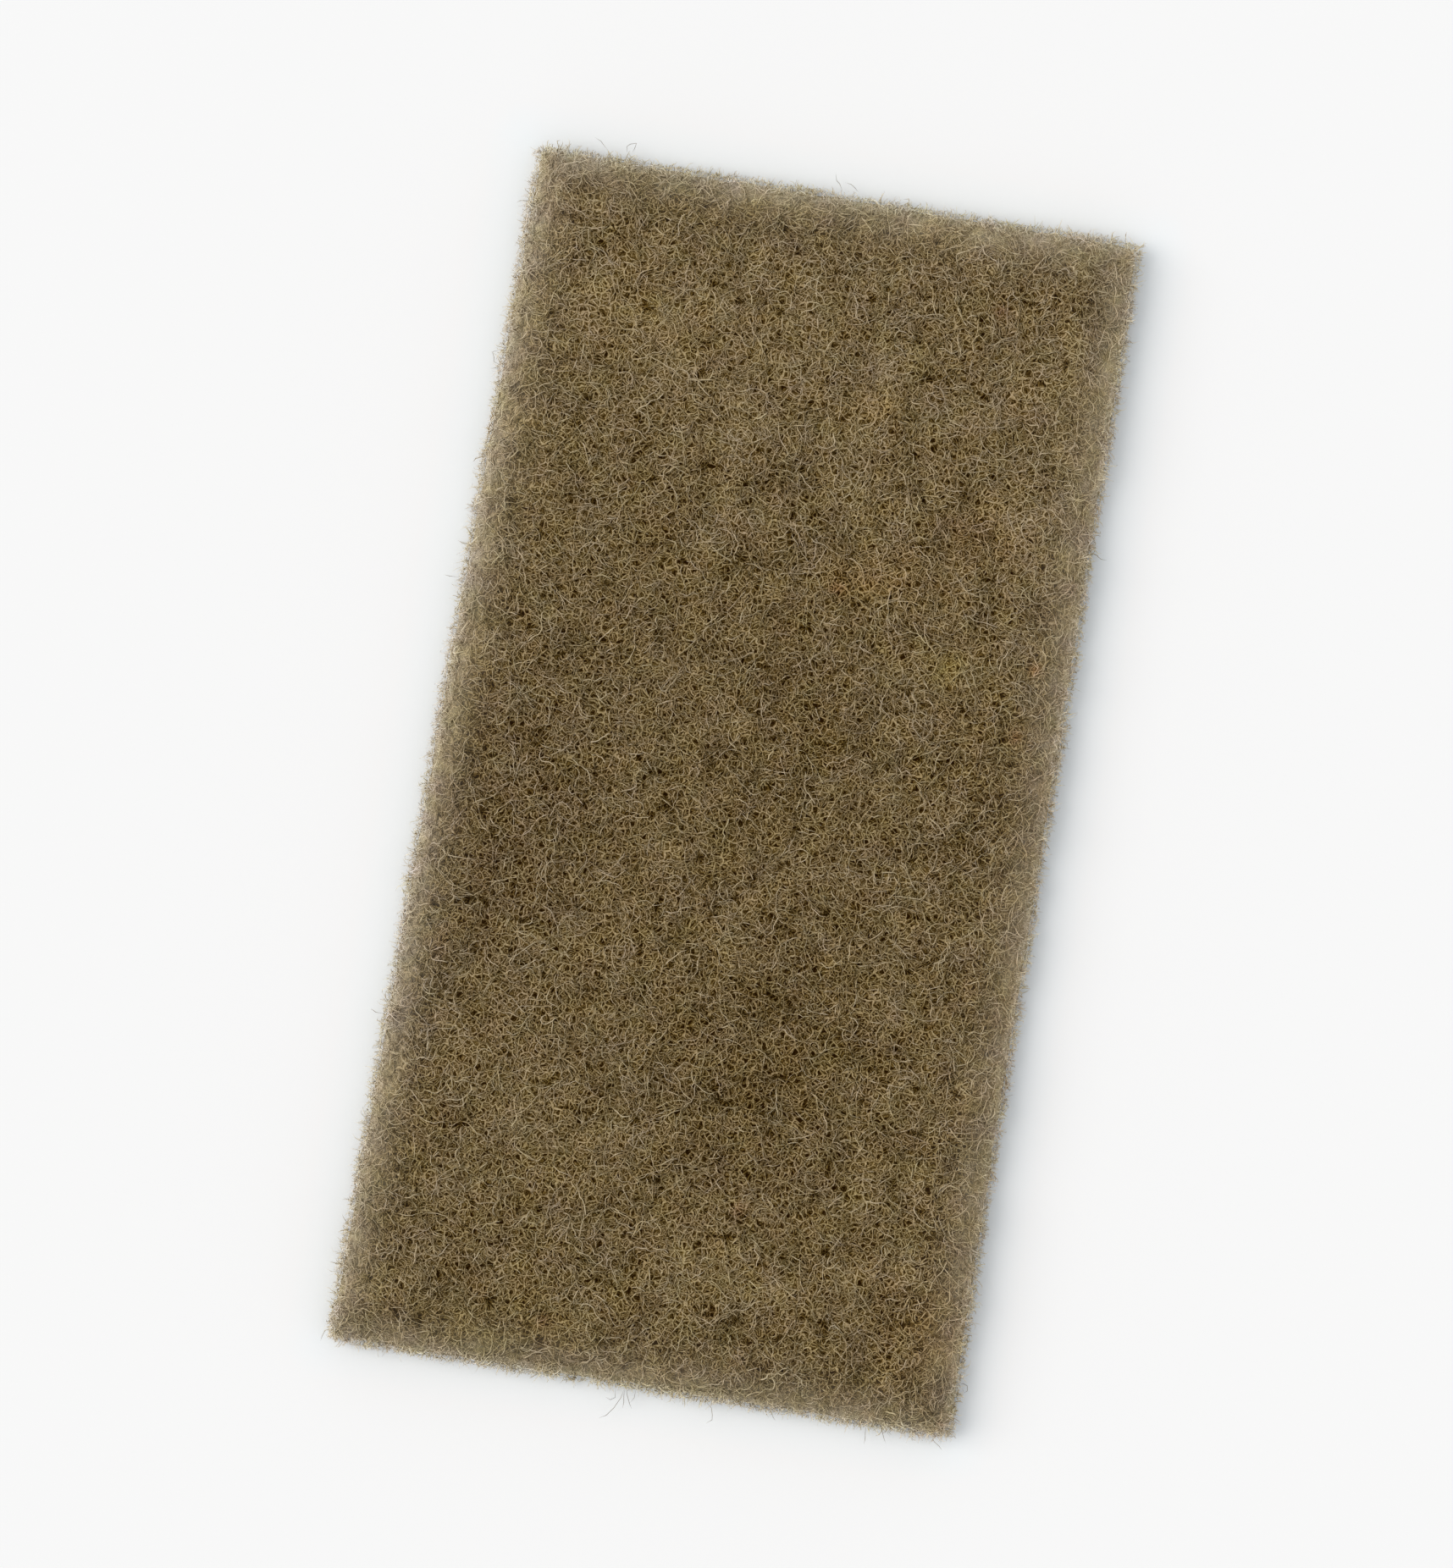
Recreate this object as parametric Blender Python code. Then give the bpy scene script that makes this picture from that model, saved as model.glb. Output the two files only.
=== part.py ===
"""Abrasive hand pad, cut in one piece from a thick, open web of curly fibres.

The pad lies on its flat face, with its long side along Y and +Z up. The origin is the middle of
that face. Lengths are in metres.
"""

import math

import bmesh
import bpy
from mathutils import Vector, noise

# Outline as it was cut, a rectangle slightly out of square
LENGTH = 0.2300
FAR_WIDTH = 0.1165
NEAR_WIDTH = 0.1204
FAR_SLANT = 0.0004
NEAR_SLANT = 0.0011
CORNER_RADIUS = 0.0020

# Section across a cut edge, where the web is pressed down and springs back as a round shoulder
THICKNESS = 0.0090
RIM_HEIGHT = 0.0018
SHOULDER_REACH = 0.0076
SHOULDER_FULLNESS = 1.80
HEEL_REACH = 0.0010

# Unevenness of the web: open hollows between knots of fibre, on broad dips
HOLLOW_SPACING = 0.0064
HOLLOW_RADIUS = 0.0040
HOLLOW_DEPTH = 0.0014
DIP_SPACING = 0.0190
DIP_DEPTH = 0.0009

# Fineness of the modelled surface
PATCH = 0.0028
SHOULDER_ROWS = 5
HEEL_ROWS = 2

WEB_COLOUR = (0.144, 0.105, 0.050, 1.0)
WEB_ROUGHNESS = 0.95


def outline_point(across, along):
    """The point of the cut outline's plane at a share of the half width and half length, each -1 to 1."""
    far = Vector((across * FAR_WIDTH / 2, LENGTH / 2 + across * FAR_SLANT / 2, 0.0))
    near = Vector((across * NEAR_WIDTH / 2, -LENGTH / 2 + across * NEAR_SLANT / 2, 0.0))
    return near.lerp(far, (along + 1) / 2)


def half_sizes():
    """Half of the pad's mean width and half of its length."""
    return (FAR_WIDTH + NEAR_WIDTH) / 4, LENGTH / 2


def rows(half):
    """Distances of the surface's rows from the middle line, even on the flat and closer towards the rim."""
    flat = half - SHOULDER_REACH
    count = max(1, round(2 * flat / PATCH))
    even = [flat * (2 * i / count - 1) for i in range(count + 1)]
    turns = [math.sin(math.pi / 2 * (i + 1) / SHOULDER_ROWS) for i in range(SHOULDER_ROWS)]
    crowded = [flat + SHOULDER_REACH * turn for turn in turns]
    return [-row for row in reversed(crowded)] + even + crowded


def corner_power():
    """The power of the rounded square that cuts as much off its corner as CORNER_RADIUS does."""
    cut = CORNER_RADIUS / SHOULDER_REACH * (1 - math.sqrt(0.5))
    return math.log(2) / -math.log(1 - cut)


def on_shoulder(x, y):
    """Where a crossing of two rows lies on the shoulder, and how far out, 0 on the flat and 1 at the rim."""
    half_width, half_length = half_sizes()
    flat_x = half_width - SHOULDER_REACH
    flat_y = half_length - SHOULDER_REACH
    out_x = max(0.0, abs(x) - flat_x) / SHOULDER_REACH
    out_y = max(0.0, abs(y) - flat_y) / SHOULDER_REACH
    out = max(out_x, out_y)
    if out_x > 0 and out_y > 0:
        power = 2 + (corner_power() - 2) * out
        pull = out / (out_x**power + out_y**power) ** (1 / power)
        x = math.copysign(flat_x + SHOULDER_REACH * out_x * pull, x)
        y = math.copysign(flat_y + SHOULDER_REACH * out_y * pull, y)
    return x, y, out


def shoulder_height(out):
    """Height of the upper face above the floor."""
    fall = (1 - min(1.0, out) ** SHOULDER_FULLNESS) ** (1 / SHOULDER_FULLNESS)
    return RIM_HEIGHT + (THICKNESS - RIM_HEIGHT) * fall


def shape_upper_face(bm):
    """Lays a grid over the cut outline and presses its borders down into the round shoulder."""
    half_width, half_length = half_sizes()
    columns = rows(half_width)
    lines = rows(half_length)
    across = len(columns) - 1
    along = len(lines) - 1
    bmesh.ops.create_grid(bm, x_segments=across, y_segments=along, size=0.5)
    for vert in bm.verts:
        column = columns[round((vert.co.x + 0.5) * across)]
        line = lines[round((vert.co.y + 0.5) * along)]
        x, y, out = on_shoulder(column, line)
        vert.co = outline_point(x / half_width, y / half_length)
        vert.co.z = shoulder_height(out)


def turn_under(bm):
    """Turns the cut edge under to the floor, round the heel, and closes the flat face."""
    half_width, half_length = half_sizes()
    rim = [edge for edge in bm.edges if edge.is_boundary]
    inset = 0.0
    for row in range(HEEL_ROWS):
        turn = math.pi / 2 * (row + 1) / HEEL_ROWS
        step = HEEL_REACH * (1 - math.cos(turn)) - inset
        made = bmesh.ops.extrude_edge_only(bm, edges=rim)["geom"]
        rim = [item for item in made if isinstance(item, bmesh.types.BMEdge) and item.is_boundary]
        for vert in {vert for edge in rim for vert in edge.verts}:
            vert.co.x *= 1 - step / half_width
            vert.co.y *= 1 - step / half_length
            vert.co.z = RIM_HEIGHT * (1 - math.sin(turn))
        inset += step
    bmesh.ops.contextual_create(bm, geom=rim)


def hollow_at(point):
    """How far the web lies below its highest knots at a point of the surface."""
    distances, _ = noise.voronoi(point / HOLLOW_SPACING)
    from_middle = distances[0] * HOLLOW_SPACING / HOLLOW_RADIUS
    hollow = HOLLOW_DEPTH * max(0.0, 1 - from_middle**2)
    dip = DIP_DEPTH * max(0.0, noise.noise(point / DIP_SPACING))
    return hollow + dip


def roughen(bm):
    """Lets the web's surface sink between its knots, less down the pressed sides and not at all below."""
    bm.normal_update()
    moves = []
    for vert in bm.verts:
        share = vert.co.z / THICKNESS
        moves.append((vert, vert.normal * (-share * hollow_at(vert.co))))
    for vert, move in moves:
        vert.co += move


def web_material():
    material = bpy.data.materials.new("abrasive_web")
    material.use_nodes = True
    shader = material.node_tree.nodes["Principled BSDF"]
    shader.inputs["Base Color"].default_value = WEB_COLOUR
    shader.inputs["Roughness"].default_value = WEB_ROUGHNESS
    shader.inputs["Metallic"].default_value = 0.0
    return material


def make_pad(collection):
    bm = bmesh.new()
    shape_upper_face(bm)
    turn_under(bm)
    roughen(bm)
    bmesh.ops.recalc_face_normals(bm, faces=bm.faces)
    mesh = bpy.data.meshes.new("abrasive_pad")
    bm.to_mesh(mesh)
    bm.free()
    mesh.shade_smooth()
    mesh.materials.append(web_material())
    pad = bpy.data.objects.new("abrasive_pad", mesh)
    collection.objects.link(pad)
    return pad


def main():
    for old in list(bpy.data.objects):
        bpy.data.objects.remove(old)
    collection = bpy.data.collections.new("Abrasive pad")
    bpy.context.scene.collection.children.link(collection)
    make_pad(collection)


main()
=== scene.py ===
"""Looks of an abrasive hand pad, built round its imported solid.

The pad is an open web of curly fibres. A dense body stands for the depth of the web. Mats of
single fibres lie over it on the upper face, the cut sides and the face underneath, with short
fibre ends along the cut and a few loose fibres outside it. Lengths are in metres.
"""

import math

import bmesh
import bpy
import numpy as np
from bpy.props import FloatProperty, FloatVectorProperty, IntProperty, PointerProperty
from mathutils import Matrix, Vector, geometry, noise
from mathutils.bvhtree import BVHTree


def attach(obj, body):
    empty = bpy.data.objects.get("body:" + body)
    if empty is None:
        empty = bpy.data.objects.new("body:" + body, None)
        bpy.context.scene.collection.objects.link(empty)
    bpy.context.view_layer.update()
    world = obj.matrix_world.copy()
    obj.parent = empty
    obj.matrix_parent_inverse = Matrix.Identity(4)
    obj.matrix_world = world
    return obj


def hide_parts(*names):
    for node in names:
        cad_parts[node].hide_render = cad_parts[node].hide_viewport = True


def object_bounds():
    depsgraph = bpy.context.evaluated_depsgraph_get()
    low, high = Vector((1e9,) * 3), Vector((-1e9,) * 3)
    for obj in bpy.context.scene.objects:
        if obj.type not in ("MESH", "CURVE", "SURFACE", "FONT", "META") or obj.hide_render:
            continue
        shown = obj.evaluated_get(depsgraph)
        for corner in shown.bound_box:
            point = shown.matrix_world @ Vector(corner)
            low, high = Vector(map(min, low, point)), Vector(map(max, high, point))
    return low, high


bl_info = {
    "name": "Abrasive Pad",
    "version": (1, 0, 0),
    "blender": (4, 5, 0),
    "location": "3D View > Sidebar > Pad",
    "description": "Fibre web, finish and studio of an abrasive hand pad",
    "category": "Object",
}

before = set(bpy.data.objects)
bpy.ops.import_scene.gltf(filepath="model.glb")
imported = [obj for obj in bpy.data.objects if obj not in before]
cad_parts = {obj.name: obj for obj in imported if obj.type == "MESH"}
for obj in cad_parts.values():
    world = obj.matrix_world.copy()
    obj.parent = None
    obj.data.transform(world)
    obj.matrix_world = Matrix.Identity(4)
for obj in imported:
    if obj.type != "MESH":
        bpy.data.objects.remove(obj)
PAD_NODE = "abrasive_pad"
PAD_LOW, PAD_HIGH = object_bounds()

UPWARDS = (0.0, 0.0, 1.0)
MERGE_DISTANCE = 4e-6

# Meshes: sides of a fibre's section, the shortest run between its points, and the name of the flat map with
# the margin round the pad and how far a point's height moves its place on the map
FIBRE_SIDES = 3
SHORTEST_RUN = 5e-5
BAKE_MAP = "OFBake"
MAP_MARGIN = 0.01
MAP_SLANT = (0.31, 0.37)

# Walk of a curled fibre: how strongly each run brings it back to its level and lays it flat, how late it
# dives, least and most of the usual curl, pace and thickness, and the least height of its middle line above
# the floor, in fibre thicknesses
BACK_TO_LEVEL = 0.45
BACK_TO_FLAT = 0.5
LATE_DIVE = 6
CURL_RANGE = (0.4, 1.5)
PACE_RANGE = (0.7, 1.3)
THICKNESS_RANGE = (0.85, 1.15)
FIBRE_CLEARANCE = 0.7

# Places of the side fibres: breadth of the band in which they start, how much they crowd to its outer edge,
# how far it stands out from the cut and how far it rises above the pad, before each place is taken to the
# nearest surface
SIDE_BREADTH = 0.012
SIDE_CROWDING = 1.2
SIDE_OVERHANG = 0.002
SIDE_LIFT = 0.004

# Places of the fibre ends along the cut: how much they crowd to the outline, how far they gather into tufts,
# in tuft breadths, the lowest place, how deep they start, the share of their length by which they start
# further back, and the share of the mat's depth over which their colours spread
CUT_END_CROWDING = 2.2
CUT_END_GATHER = 0.6
CUT_END_LOWEST = 0.0004
CUT_END_ROOT = 0.0001
CUT_END_BACK = 0.35
CUT_END_DEPTH = 0.6

# Shape of the fibre ends: how much they turn up and stray against outwards, how much they bend after each
# run, the shares of the three runs, least and most of the usual thickness, the least and further share of
# the usual length, and how strongly and within what limits the tufts change it
CUT_END_RISE = 0.5
CUT_END_STRAY = 0.7
CUT_END_BEND = 0.8
CUT_END_RUNS = (0.4, 0.35, 0.25)
CUT_END_THICKNESS = (0.6, 1.1)
CUT_END_SHARES = (0.45, 1.2)
TUFT_CHANGE = 1.8
TUFT_LIMITS = (0.3, 1.5)

# Dense web: share of the floor gap that its border closes, and the least share of the rest that stays open
SKIRT_CLOSES = 0.9
LEAST_GAP = 0.7

# Seeds of the random draws: first where the fibres of a mat start, then how they walk
UPPER_SEEDS = ((100, 200), (101, 201), (102, 202), (103, 203))
SIDE_SEEDS = (110, 210)
UNDER_SEEDS = (120, 220)
CUT_END_SEED = 130

# Rim, painted light that stands in for light coming through the thin web at the cut: the distance in which
# it halves, the height above the floor at which it is full, its strength on faces that stand upright and how
# much more it is on faces that look up, and its level and how much patches change that
RIM_HALVES = 0.00155
RIM_HEIGHT = 0.0008
RIM_UPRIGHT = 0.1
RIM_FLAT = 2.0
RIM_LEVEL = 0.31
RIM_PATCH_CHANGE = 0.08

# Near the cut: how far in the specks reach and how much is taken off them, how far in the tones are calmer,
# and the level that they are drawn to and how strongly
SPECK_REACH = 0.003
SPECK_OFF = 0.04
CALM_REACH = 0.004
CALM_LEVEL = 0.6
CALM_SHARE = 0.35

# Pits, painted shade where a gap in the web goes deep: the noise below which the web darkens, how steeply,
# and by how much at most
PIT_LIMIT = 0.34
PIT_SLOPE = 5
PIT_SHADE_DARKNESS = 0.4

# Specks: the level of one on a fibre, how much its tone and grain change that, and the least level and the
# range of one on the dense web
FIBRE_SPECK = 0.52
SPECK_TONE = 0.35
SPECK_GRAIN = 1.6
WEB_SPECK = (0.1, 0.8)

# Roughness, with what noise adds where there are two numbers, and the weak mirror light of every finish
FIBRE_ROUGHNESS = (0.65, 0.3)
LOOSE_ROUGHNESS = (0.35, 0.3)
WEB_ROUGHNESS = 0.85
FLOOR_ROUGHNESS = 1.0
MIRROR_LIGHT = 0.02

# Breadth of the blotches in the materials, and offsets that keep their noises apart
BROAD = 0.008
TINT = 0.0045
PIT = 0.0021
FIBRE_KNOTS = 0.0018
WEB_KNOTS = 0.0014
LOOSE_KNOTS = 0.0012
GRAIN = 0.00028
RED_OFFSET = (0.13, 0.0, 0.0)
YELLOW_OFFSET = (0.0, 0.17, 0.0)
PIT_OFFSET = (0.0, 0.0, 0.11)

# How one step redder or yellower changes red, green and blue, and how many steps the small patches make
REDDER = (0.05, -0.025, -0.02)
YELLOWER = (0.01, 0.015, -0.12)
RED_STEPS = 1.9
YELLOW_STEPS = 3.6

# Depth at which the painted shade of the web's depth makes a fibre as dark as it gets
FULL_SHADE_DEPTH = 0.0012

# How light the web is, from 0 in its deepest gaps to 1 on its brightest fibres: the level of a fibre, and
# how much the patches, the blotches, the grain, a fibre's own tone and its depth, as painted shade, change
# that
FIBRE_LEVEL = 0.885
PATCH_CHANGE = 0.1
BROAD_CHANGE = 0.37
KNOTS_CHANGE = 0.1
FIBRE_GRAIN = 1.3
WEB_GRAIN = 0.8
TONE_CHANGE = 0.15
DEPTH_SHADE_CHANGE = 0.72

# Painted fibres of the dense web: layers, distance between lines and how much closer they are in each next
# layer, thickness, offset of each next layer, how far the lines are bent, how deep and how strong their
# relief is, the level of the gaps, that of the lowest lines and what each next layer adds, and where the
# light of a line and its shadow end, in half thicknesses
NET_LAYERS = 5
NET_SPACING = 0.0019
NET_CLOSER = 0.0001
NET_THICKNESS = 0.00023
NET_OFFSET = (0.023, 0.031)
NET_BEND = 0.0015
NET_RELIEF = 0.0003
NET_RELIEF_STRENGTH = 0.8
NET_GAP = 0.04
NET_LEVEL = 0.36
NET_LEVEL_STEP = 0.075
NET_LIGHT_END = 1.8
NET_SHADOW_END = 2.4

# The floor: half its breadth, and how far it lies below the pad, so that the two faces don't coincide
FLOOR_REACH = 4.0
FLOOR_DROP = 0.0001

# Broad patches of the real pad, bands of painted light along its edges and small spots: place across and
# along and reach across and along, in millimetres, then how much lighter, how much redder and how much
# yellower the web is there than elsewhere
PATCHES = (
    (0, 84, 60, 26, 0.6, 0.0, 0.0),
    # Bands along the top, right and left edges: painted light at the cut, the right one also redder and
    # yellower against the cooler light on that side
    (0, 113, 90, 5, 1.2, 0.0, 0.0),
    (58, 0, 5, 150, 1.2, 0.6, 0.3),
    (-58, 0, 4, 150, 0.8, 0.0, -0.3),
    # Broad patches of the real pad
    (52, 70, 12, 34, 0.7, 0.0, 0.0),
    (-52, 104, 9, 12, 0.6, 0.0, -0.2),
    (-54, 48, 8, 24, 0.6, 0.0, 0.0),
    (8, 12, 13, 24, -0.5, 0.0, 0.0),
    (51, 6, 9, 11, -0.5, 0.0, 0.0),
    (14, -50, 17, 19, -0.9, 0.0, 0.0),
    (-40, -8, 16, 26, -0.5, 0.0, -0.5),
    (-28, -70, 12, 16, 0.4, 0.0, 0.2),
    (12, -92, 20, 8, 0.6, 0.0, 0.3),
    (-22, 70, 17, 7, 0.2, 0.0, 0.0),
    (-34, 86, 20, 6, 0.5, 0.3, 0.5),
    (20, 44, 9, 4, 0.6, 1.0, 0.5),
    (37, 55, 9, 5, 0.1, 0.8, 0.2),
    (35, 30, 5, 4, 0.9, 0.2, 1.6),
    (17, 42, 3, 3, 0.6, 0.7, 1.2),
    (14, 76, 3, 3, 0.5, 0.9, 1.0),
    (52, -94, 8, 9, 0.2, 0.8, 0.6),
    (-26, -106, 16, 5, 0.0, 0.0, 0.8),
    (-52, -45, 6, 12, 0.0, -0.2, -0.8),
    # Small darker spots, painted shade where the web has deep gaps, then small redder spots
    (-13.2, -5.0, 1.3, 1.3, -4.0, 0.0, 0.0),
    (-42.0, 63.5, 1.2, 1.2, -3.0, 0.0, 0.0),
    (-48.2, 107.2, 1.6, 1.2, -3.0, 0.0, 0.0),
    (32.5, -97.2, 1.3, 1.3, -3.0, 0.0, 0.0),
    (10.2, 89.2, 1.3, 1.2, -3.0, 0.0, 0.0),
    (-39.2, 4.0, 1.3, 1.3, -2.5, 0.0, 0.0),
    (-16.5, 59.8, 1.2, 1.2, -2.5, 0.0, 0.0),
    (14.0, -20.5, 1.2, 1.2, -2.5, 0.0, 0.0),
    (12.0, 40.8, 1.3, 1.0, 0.0, 3.0, 0.5),
    (50.8, 32.0, 1.2, 1.2, 0.0, 3.0, 0.5),
    (49.5, 19.0, 1.2, 1.2, 0.0, 3.0, 0.5),
    (-19.8, -104.2, 1.2, 1.2, 0.0, 3.0, 0.5),
    (13.0, -77.5, 1.2, 1.2, 0.0, 2.5, 0.5),
    (33.5, 97.2, 1.2, 1.2, 0.0, 2.5, 0.5),
)

# Loose fibres outside the cut outline: points across and along the pad, in millimetres
LOOSE_FIBRES = (
    ((-41.1, 115.7), (-41.4, 116.9), (-40.8, 117.5), (-39.7, 117.9), (-39.9, 116.9), (-40.2, 116.0)),
    ((-44.3, 115.1), (-46.4, 117.1), (-47.7, 117.7)),
    ((0.3, 115.3), (-0.5, 116.7), (-1.2, 117.3), (-1.6, 118.8)),
    ((3.2, 115.8), (2.6, 116.4), (1.7, 117.0), (0.4, 117.2)),
    ((-58.7, 75.2), (-60.0, 74.4), (-59.5, 73.4), (-59.4, 72.6), (-58.2, 72.2)),
    ((-57.8, 71.6), (-59.0, 71.5), (-59.8, 71.2)),
    ((-59.0, 31.3), (-61.0, 31.2), (-62.1, 31.3)),
    ((-59.0, -52.5), (-60.9, -52.5), (-61.5, -52.2), (-62.0, -52.1)),
    ((-2.7, -115.1), (-3.0, -116.7), (-3.5, -117.8), (-4.0, -118.9), (-5.2, -120.5), (-6.7, -121.3)),
    ((-2.6, -114.9), (-2.5, -116.4), (-2.3, -117.6), (-2.4, -118.8)),
    ((-2.3, -114.9), (-1.9, -116.1), (-1.2, -117.6), (-0.6, -118.5)),
    ((-4.3, -115.2), (-4.1, -116.9), (-4.9, -117.4), (-6.0, -117.0)),
    ((-0.5, -114.6), (-0.5, -116.3), (-1.2, -117.4)),
    ((12.8, -114.6), (14.2, -115.7), (14.6, -117.0), (14.7, -118.0), (13.6, -118.9)),
    ((25.4, -114.4), (26.0, -115.5), (26.6, -116.2)),
    ((43.6, -114.1), (43.7, -115.5), (43.9, -116.7), (43.8, -117.9)),
    ((46.3, -113.7), (46.8, -114.7), (47.3, -115.9), (48.0, -117.1)),
    ((56.2, -114.3), (56.9, -115.1), (57.9, -115.7), (58.7, -116.5)),
    ((59.7, -103.4), (60.5, -103.3), (61.2, -103.5), (61.4, -104.5), (60.7, -105.1)),
    ((58.2, 55.8), (59.1, 55.5), (60.1, 54.9), (61.4, 54.9)),
    ((-59.7, -113.0), (-60.3, -113.5), (-60.7, -114.6), (-60.9, -115.7)),
)


def linear(red, green, blue):
    """A colour written as the eye sees it, 0 to 255, turned into the light values that Blender uses."""
    shares = [level / 255 for level in (red, green, blue)]
    return tuple(s / 12.92 if s <= 0.04045 else ((s + 0.055) / 1.055) ** 2.4 for s in shares)


def length(name, description, default):
    return FloatProperty(
        name=name, description=description, default=default, min=0.0, precision=5,
        subtype="DISTANCE", unit="LENGTH",
    )


def number(name, description, default):
    return FloatProperty(name=name, description=description, default=default, precision=3)


def count(name, description, default):
    return IntProperty(name=name, description=description, default=default, min=1)


def colour(name, description, default):
    return FloatVectorProperty(
        name=name, description=description, default=linear(*default), size=3, min=0.0, max=1.0,
        subtype="COLOR",
    )


def angle(name, description, degrees):
    return FloatProperty(
        name=name, description=description, default=math.radians(degrees), subtype="ANGLE", unit="ROTATION",
    )


class PAD_PG_web(bpy.types.PropertyGroup):
    """Sizes of the dense body under the fibres."""

    side_inset: length("Side inset", "How far the dense web stays inside the cut sides", 0.0008)
    top_inset: length("Top inset", "How far the dense web lies below the upper face", 0.0009)
    floor_gap: length("Floor gap", "How far the dense web stays above the floor", 0.0009)
    skirt: length("Skirt", "Breadth of the border that comes down towards the floor", 0.0036)
    voxel: length("Grain", "Size of the faces that the dense web is made of", 0.0015)
    hollow_depth: length("Hollow depth", "Depth of the hollows in the dense web", 0.0004)
    hollow_spacing: length("Hollow spacing", "Distance between hollows in the dense web", 0.0034)


class PAD_PG_fibres(bpy.types.PropertyGroup):
    """Sizes and numbers of the single fibres."""

    thickness: length("Thickness", "Thickness of a fibre with its resin", 0.00016)
    thickness_spread: number("Thickness spread", "Share by which the thickness varies", 0.2)
    stride: length("Stride", "Length of one straight run of a fibre", 0.0007)
    strides: count("Strides", "Straight runs in one fibre", 11)
    curl: length("Curl", "Usual radius of a fibre's curls", 0.0015)
    curl_memory: number("Curl memory", "Share of a bend that carries on into the next run", 0.0)
    mat_depth: length("Mat depth", "How far below the face the lowest fibres of a mat lie", 0.0007)
    wave: length("Wave", "How far a fibre rises and falls as it passes over others", 0.00045)
    wave_pace: number("Wave pace", "Share of a rise and fall that a fibre passes in one run", 1.2)
    cut_margin: length("Cut margin", "How far inside the outline the curled fibres are cut off", 0.0003)
    upper_fibres: count("Upper fibres", "Fibres in each mat of the upper face", 2300)
    side_fibres: count("Side fibres", "Fibres on the cut sides", 2100)
    under_fibres: count("Underside fibres", "Fibres in the mat of the underside", 1150)
    cut_ends: count("Cut ends", "Short fibre ends along the cut", 19000)
    cut_end_length: length("Cut end length", "Usual length of a fibre end along the cut", 0.0018)
    cut_end_reach: length("Cut end reach", "How far in from the outline the short fibre ends stand", 0.0032)
    tufts: count("Tufts", "Tufts into which the ends gather, all round the cut", 620)
    tuft_spacing: length("Tuft spacing", "Distance between places where the ends are longer", 0.001)
    loose_thickness: length("Loose thickness", "Thickness of the loose fibres outside the cut", 0.00011)
    loose_height: length("Loose height", "Height of the loose fibres above the floor", 0.0024)


class PAD_PG_colours(bpy.types.PropertyGroup):
    """Colours of the web, from the painted shade of its depth to the painted light of its pale rim."""

    # Deep and shade are painted shade of the web's depth, web and bright the fibres' own colours
    deep: colour("Deep", "Colour of the deepest gaps", (34, 16, 0))
    shade: colour("Shade", "Colour of fibres in the depth", (102, 80, 37))
    web: colour("Web", "Usual colour of a fibre", (165, 144, 106))
    bright: colour("Bright", "Colour of the lightest fibres", (200, 182, 150))
    # The three rim colours are painted light, for light coming through the thin web at the cut, from its
    # darkest specks to its lightest
    rim_light_darkest: colour("Rim shade", "Darkest colour of the fibre ends at the cut", (152, 126, 74))
    rim: colour("Rim", "Colour of the thin web at the cut, where light comes through", (250, 237, 204))
    rim_light_brightest: colour("Rim bright", "Lightest colour of the fibre ends at the cut", (254, 248, 231))
    loose: colour("Loose", "Colour of the loose fibres outside the cut", (96, 100, 104))


class PAD_PG_stage(bpy.types.PropertyGroup):
    """Floor, lamps and camera."""

    floor: colour("Floor", "Colour of the floor", (253, 252, 252))
    # Painted shadow tint: close to the pad the floor is painted cooler, which gives its shadow a cool tint
    floor_shadow_tint: colour("Floor near", "Colour of the floor close to the pad", (250, 253, 255))
    backdrop: colour("Backdrop", "Colour that the camera sees behind the floor", (248, 248, 248))
    floor_fade: length("Floor fade", "How far from the pad the floor takes its usual colour", 0.008)
    dome: number("Dome", "Strength of the light from all round", 0.68)
    key: number("Key", "Strength of the broad lamp from the left", 1.5)
    dome_tint: colour("Dome tint", "Colour of the light from all round", (248, 252, 255))
    key_tint: colour("Key tint", "Colour of the broad lamp", (255, 250, 243))
    key_height: angle("Key height", "Height of the broad lamp above the floor", 42.0)
    key_breadth: angle("Key breadth", "Breadth of the broad lamp as seen from the pad", 48.0)
    camera_height: length("Camera height", "Height of the camera above the floor", 1.0)
    camera_x: FloatProperty(
        name="Camera across", description="Place of the camera across the pad", default=-0.00268,
        precision=5, subtype="DISTANCE", unit="LENGTH",
    )
    camera_y: FloatProperty(
        name="Camera along", description="Place of the camera along the pad", default=0.00115,
        precision=5, subtype="DISTANCE", unit="LENGTH",
    )
    view_height: length("View height", "Height of the picture at the floor", 0.2975)
    turn: angle("Turn", "Turn of the camera about the line that it looks along", 9.6)


class Value:
    """An output of a node, so that shader maths on it reads as a Python expression."""

    def __init__(self, nodes, socket):
        self.nodes = nodes
        self.socket = socket

    def maths(self, operation, *terms):
        return self.nodes.node("ShaderNodeMath", {"operation": operation}, dict(enumerate(terms)))

    def __add__(self, other):
        return self.maths("ADD", self, other)

    def __radd__(self, other):
        return self.maths("ADD", other, self)

    def __sub__(self, other):
        return self.maths("SUBTRACT", self, other)

    def __rsub__(self, other):
        return self.maths("SUBTRACT", other, self)

    def __mul__(self, other):
        return self.maths("MULTIPLY", self, other)

    def __rmul__(self, other):
        return self.maths("MULTIPLY", other, self)

    def __truediv__(self, other):
        return self.maths("DIVIDE", self, other)

    def __rtruediv__(self, other):
        return self.maths("DIVIDE", other, self)

    def __pow__(self, other):
        return self.maths("POWER", self, other)

    def __rpow__(self, other):
        return self.maths("POWER", other, self)

    def clamp(self):
        return self.nodes.node("ShaderNodeClamp", {}, {0: self})


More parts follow.
